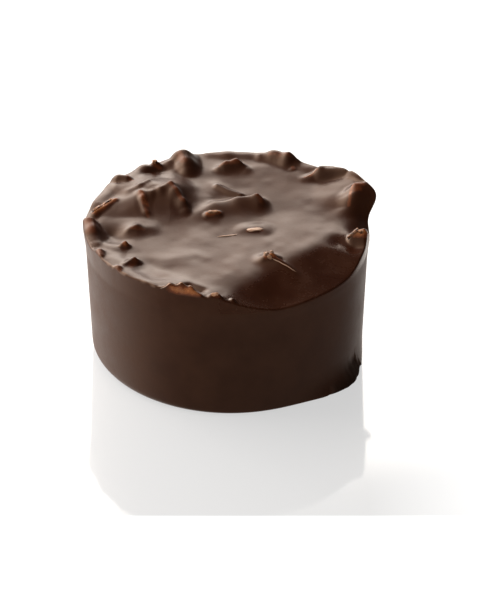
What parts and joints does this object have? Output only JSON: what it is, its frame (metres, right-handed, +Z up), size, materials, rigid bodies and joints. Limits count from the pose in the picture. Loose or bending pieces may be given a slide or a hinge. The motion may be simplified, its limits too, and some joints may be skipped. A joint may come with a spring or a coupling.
{
  "type": "chocolate nut cluster",
  "caption": "Bite-sized round dark chocolate with smooth tapered sides and a lumpy top of coated chopped nuts.",
  "frame": {"origin": "centre of the flat foot it rests on", "axes": "+Z up, -Y towards the side shown in the picture"},
  "size_m": [0.037, 0.0358, 0.0197],
  "materials": {
    "dark_chocolate": "satin"
  },
  "bodies": {
    "root": {"nut_chocolate": "dark_chocolate"}
  },
  "joints": []
}
